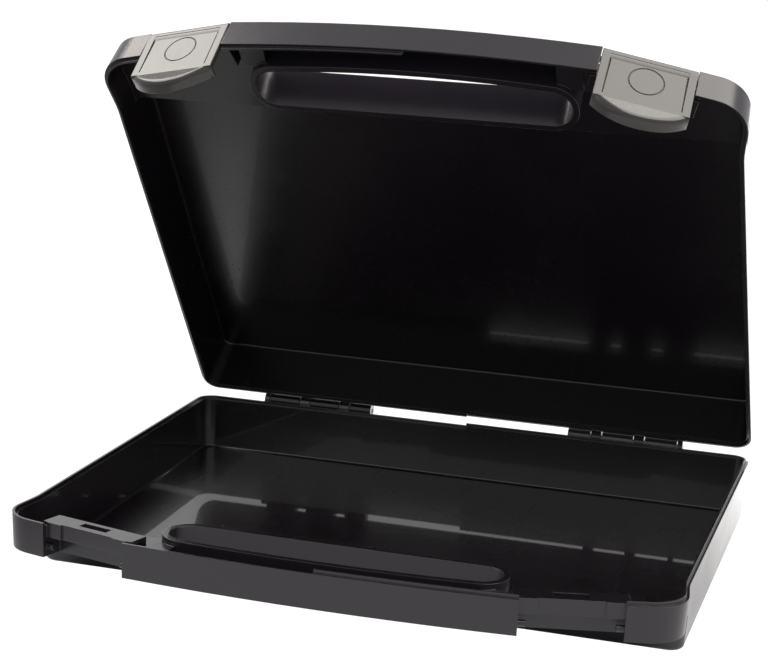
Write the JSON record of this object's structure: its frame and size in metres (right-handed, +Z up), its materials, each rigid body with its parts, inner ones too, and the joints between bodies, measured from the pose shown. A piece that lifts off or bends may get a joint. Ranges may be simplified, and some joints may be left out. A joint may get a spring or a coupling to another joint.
{
  "type": "hard tool case",
  "caption": "Flat black hard plastic case, opened: two matching shells with a carrying handle, two pin hinges at the rear and two pivoting latches at the front.",
  "frame": {"origin": "centre of the flat face the base rests on, 120 mm before the rear wall's outer face", "axes": "+X to the right seen from the front, +Y towards the hinges at the rear, +Z up"},
  "size_m": [0.3394, 0.3214, 0.2741],
  "materials": {
    "base_plastic": "fine grain outside, polished inside",
    "lid_plastic": "fine grain outside, polished inside",
    "latch_plastic": "satin",
    "pin_steel": "drawn wire"
  },
  "bodies": {
    "base": {"base_shell": "base_plastic", "left_hinge_pin": "pin_steel", "right_hinge_pin": "pin_steel"},
    "lid": {"lid_shell": "lid_plastic"},
    "left_latch_body": {"left_latch": "latch_plastic"},
    "right_latch_body": {"right_latch": "latch_plastic"}
  },
  "joints": [
    {"name": "lid_hinge", "type": "hinge", "parent": "base", "child": "lid", "pos_m": [0, 0.1263, 0.0344], "axis": [-1, 0, 0], "range_deg": [-49.5, 130.5]},
    {"name": "left_latch_hinge", "type": "hinge", "parent": "lid", "child": "left_latch_body", "pos_m": [-0.11572, -0.05033, 0.2603], "axis": [-0.9688, 0.161, -0.1885], "range_deg": [0, 75]},
    {"name": "right_latch_hinge", "type": "hinge", "parent": "lid", "child": "right_latch_body", "pos_m": [0.11572, -0.05033, 0.2603], "axis": [-0.9688, -0.161, 0.1885], "range_deg": [0, 75]}
  ]
}
